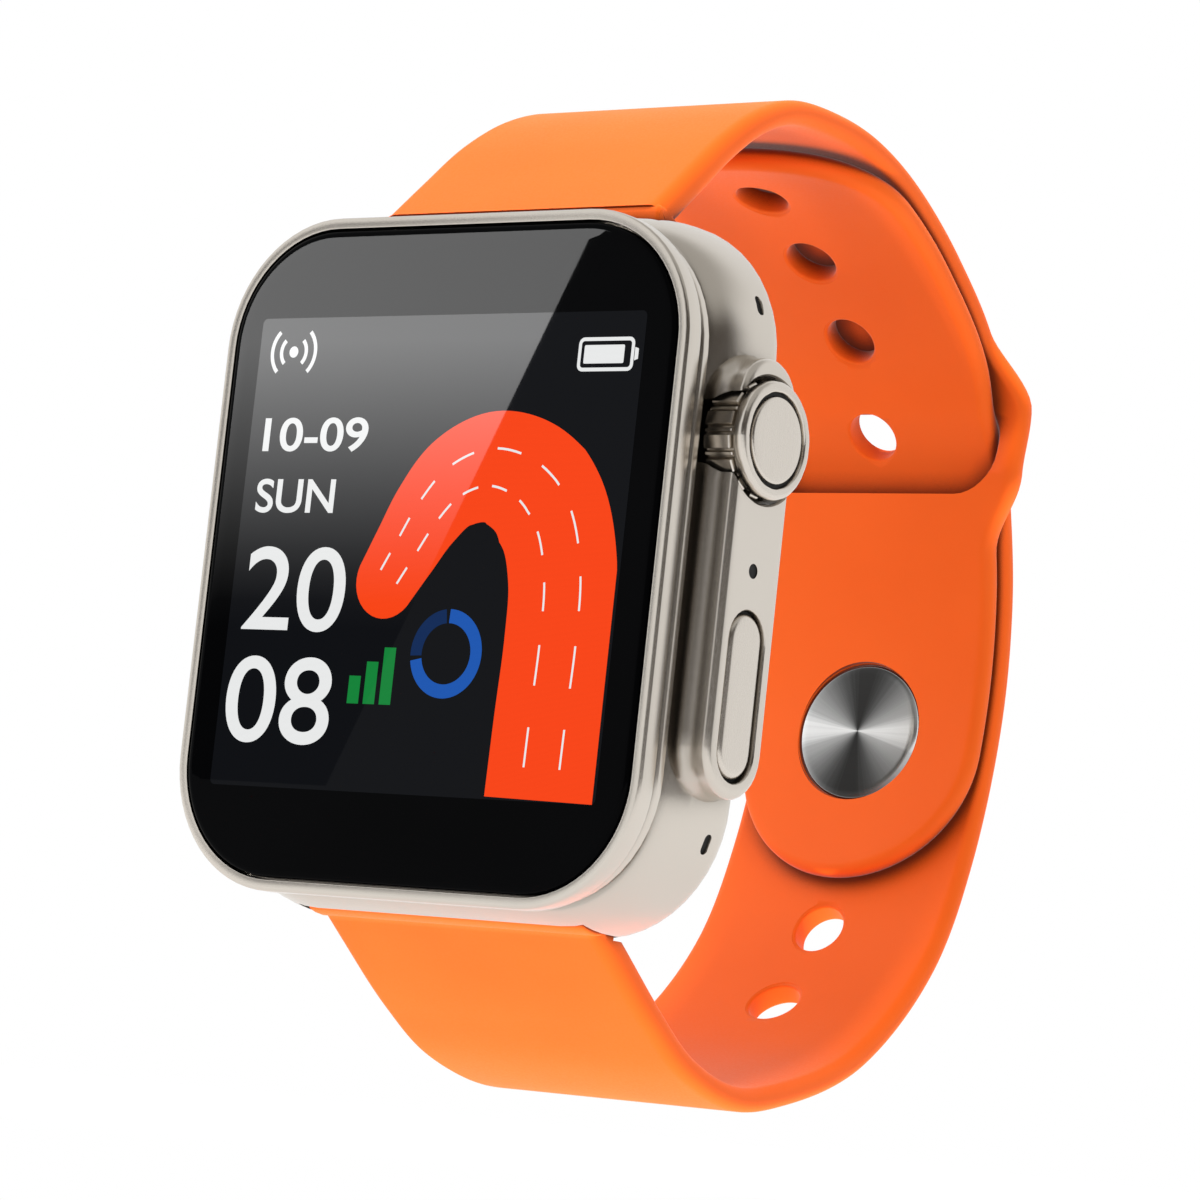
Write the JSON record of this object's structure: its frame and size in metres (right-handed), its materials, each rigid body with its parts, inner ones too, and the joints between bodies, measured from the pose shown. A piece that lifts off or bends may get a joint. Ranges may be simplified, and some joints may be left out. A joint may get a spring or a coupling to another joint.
{
  "type": "gps running watch",
  "caption": "Square-faced running watch with a guarded crown, a side button and a pin-and-tuck elastomer band closed as if worn.",
  "frame": {"origin": "centre of the flat face of the sensor window, where the case back touches the wrist", "axes": "+X towards the crown side, +Y out of the case back towards the wrist, +Z towards 12 o'clock; the display looks along -Y"},
  "size_m": [0.0427, 0.0602, 0.0717],
  "materials": {
    "case_metal": "satin blasted champagne",
    "glass_black": "polished glass printed black behind",
    "display": "lit display panel",
    "silicone": "smooth matte orange elastomer",
    "black_rubber": "matte",
    "black_plastic": "moulded",
    "steel": "turned and brushed",
    "board": "solder mask",
    "foil": "laminate pouch or shield can",
    "gold": "gold plated",
    "ceramic": "fired ceramic",
    "film": "flexible circuit film",
    "green_led": "clear moulded lens"
  },
  "bodies": {
    "watch": {"cover_glass": "glass_black", "glass_gasket": "black_rubber", "display_module": "display", "bezel_ring": "case_metal", "mid_case": "case_metal", "inner_frame": "black_plastic", "battery": "foil", "main_board": "board", "processor_chip": "black_plastic", "gps_module": "foil", "gps_antenna": "ceramic", "vibration_motor": "steel", "speaker": "black_plastic", "microphone": "steel", "display_flex": "film", "side_flex": "film", "rear_cover": "case_metal", "rear_gasket": "black_rubber", "sensor_window": "glass_black", "sensor_board": "board", "sensor_led_right": "green_led", "sensor_led_left": "green_led", "photodiode": "black_plastic", "charging_contact_right": "gold", "charging_contact_left": "gold", "case_screw_1": "steel", "case_screw_2": "steel", "case_screw_3": "steel", "case_screw_4": "steel", "crown_tube": "steel", "crown_o_ring": "black_rubber", "encoder_sensor": "black_plastic", "crown_switch": "steel", "button_seal": "black_rubber", "button_switch": "steel", "top_strap": "silicone", "bottom_strap": "silicone", "top_spring_bar": "steel", "bottom_spring_bar": "steel", "pin_base": "steel", "pin_stud": "steel"},
    "crown_stem": {"crown_thrust_plate": "steel"},
    "crown_knob": {"crown": "case_metal", "crown_inlay": "case_metal", "crown_shaft": "steel", "encoder_wheel": "black_plastic"},
    "action_button": {"side_button": "case_metal"},
    "top_tip_left": {"top_bar_tip_left": "steel"},
    "top_tip_right": {"top_bar_tip_right": "steel"},
    "bottom_tip_left": {"bottom_bar_tip_left": "steel"},
    "bottom_tip_right": {"bottom_bar_tip_right": "steel"}
  },
  "joints": [
    {"name": "crown_press", "type": "slide", "parent": "watch", "child": "crown_stem", "axis": [-1, 0, 0], "range_m": [0, 0.00035], "stiffness_N_per_m": 3000},
    {"name": "crown_turn", "type": "hinge", "parent": "crown_stem", "child": "crown_knob", "pos_m": [0.0192, -0.00542, 0.0091], "axis": [1, 0, 0], "continuous": true},
    {"name": "side_button_press", "type": "slide", "parent": "watch", "child": "action_button", "axis": [-1, 0, 0], "range_m": [0, 0.00035], "stiffness_N_per_m": 3000},
    {"name": "top_left_tip_retract", "type": "slide", "parent": "watch", "child": "top_tip_left", "axis": [1, 0, 0], "range_m": [0, 0.0012], "stiffness_N_per_m": 600},
    {"name": "top_right_tip_retract", "type": "slide", "parent": "watch", "child": "top_tip_right", "axis": [-1, 0, 0], "range_m": [0, 0.0012], "stiffness_N_per_m": 600},
    {"name": "bottom_left_tip_retract", "type": "slide", "parent": "watch", "child": "bottom_tip_left", "axis": [1, 0, 0], "range_m": [0, 0.0012], "stiffness_N_per_m": 600},
    {"name": "bottom_right_tip_retract", "type": "slide", "parent": "watch", "child": "bottom_tip_right", "axis": [-1, 0, 0], "range_m": [0, 0.0012], "stiffness_N_per_m": 600}
  ]
}
